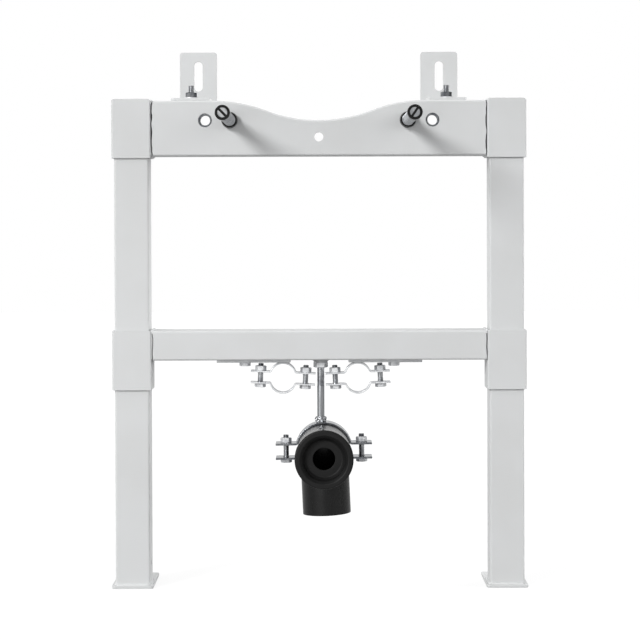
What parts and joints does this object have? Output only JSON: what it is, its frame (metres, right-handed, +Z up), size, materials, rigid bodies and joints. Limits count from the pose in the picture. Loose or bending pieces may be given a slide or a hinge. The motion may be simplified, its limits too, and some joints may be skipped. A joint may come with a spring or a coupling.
{
  "type": "bidet installation frame",
  "caption": "Low steel frame that carries a wall-hung bidet: square legs on foot plates, saddle-backed top rail with long studs, wall brackets, pipe clamps and a black waste elbow.",
  "frame": {"origin": "on the floor, under the middle of the frame's overall box", "axes": "+X to the right as the bidet's user sees the frame, +Y back towards the wall, +Z up"},
  "size_m": [0.422, 0.311, 0.554],
  "materials": {
    "light_grey_paint": "satin light grey powder coat",
    "zinc_plate": "bright zinc plate",
    "black_plastic": "black polyethylene, slightly glossy",
    "seal_rubber": "black moulded rubber"
  },
  "bodies": {
    "root": {"left_foot_plate": "light_grey_paint", "right_foot_plate": "light_grey_paint", "left_leg": "light_grey_paint", "right_leg": "light_grey_paint", "left_lower_sleeve": "light_grey_paint", "right_lower_sleeve": "light_grey_paint", "left_top_sleeve": "light_grey_paint", "right_top_sleeve": "light_grey_paint", "left_cap": "light_grey_paint", "right_cap": "light_grey_paint", "top_rail": "light_grey_paint", "lower_rail": "light_grey_paint", "weld_nuts": "zinc_plate", "left_stud": "zinc_plate", "right_stud": "zinc_plate", "stud_collars": "black_plastic", "stud_cap_rings": "black_plastic", "left_wall_bracket": "light_grey_paint", "right_wall_bracket": "light_grey_paint", "bracket_studs": "zinc_plate", "bracket_washers": "zinc_plate", "bracket_nuts": "zinc_plate", "left_strap": "zinc_plate", "right_strap": "zinc_plate", "strap_bolts": "zinc_plate", "left_clamp_upper": "zinc_plate", "left_clamp_lower": "zinc_plate", "left_clamp_bolts": "zinc_plate", "left_clamp_nuts": "zinc_plate", "right_clamp_upper": "zinc_plate", "right_clamp_lower": "zinc_plate", "right_clamp_bolts": "zinc_plate", "right_clamp_nuts": "zinc_plate", "hanger_boss": "light_grey_paint", "hanger_nut": "zinc_plate", "hanger_rod": "zinc_plate", "ring_nut": "zinc_plate", "waste_clamp_upper": "zinc_plate", "waste_clamp_lower": "zinc_plate", "waste_clamp_bolts": "zinc_plate", "waste_clamp_nuts": "zinc_plate", "waste_elbow": "black_plastic", "waste_seal": "seal_rubber"}
  },
  "joints": []
}
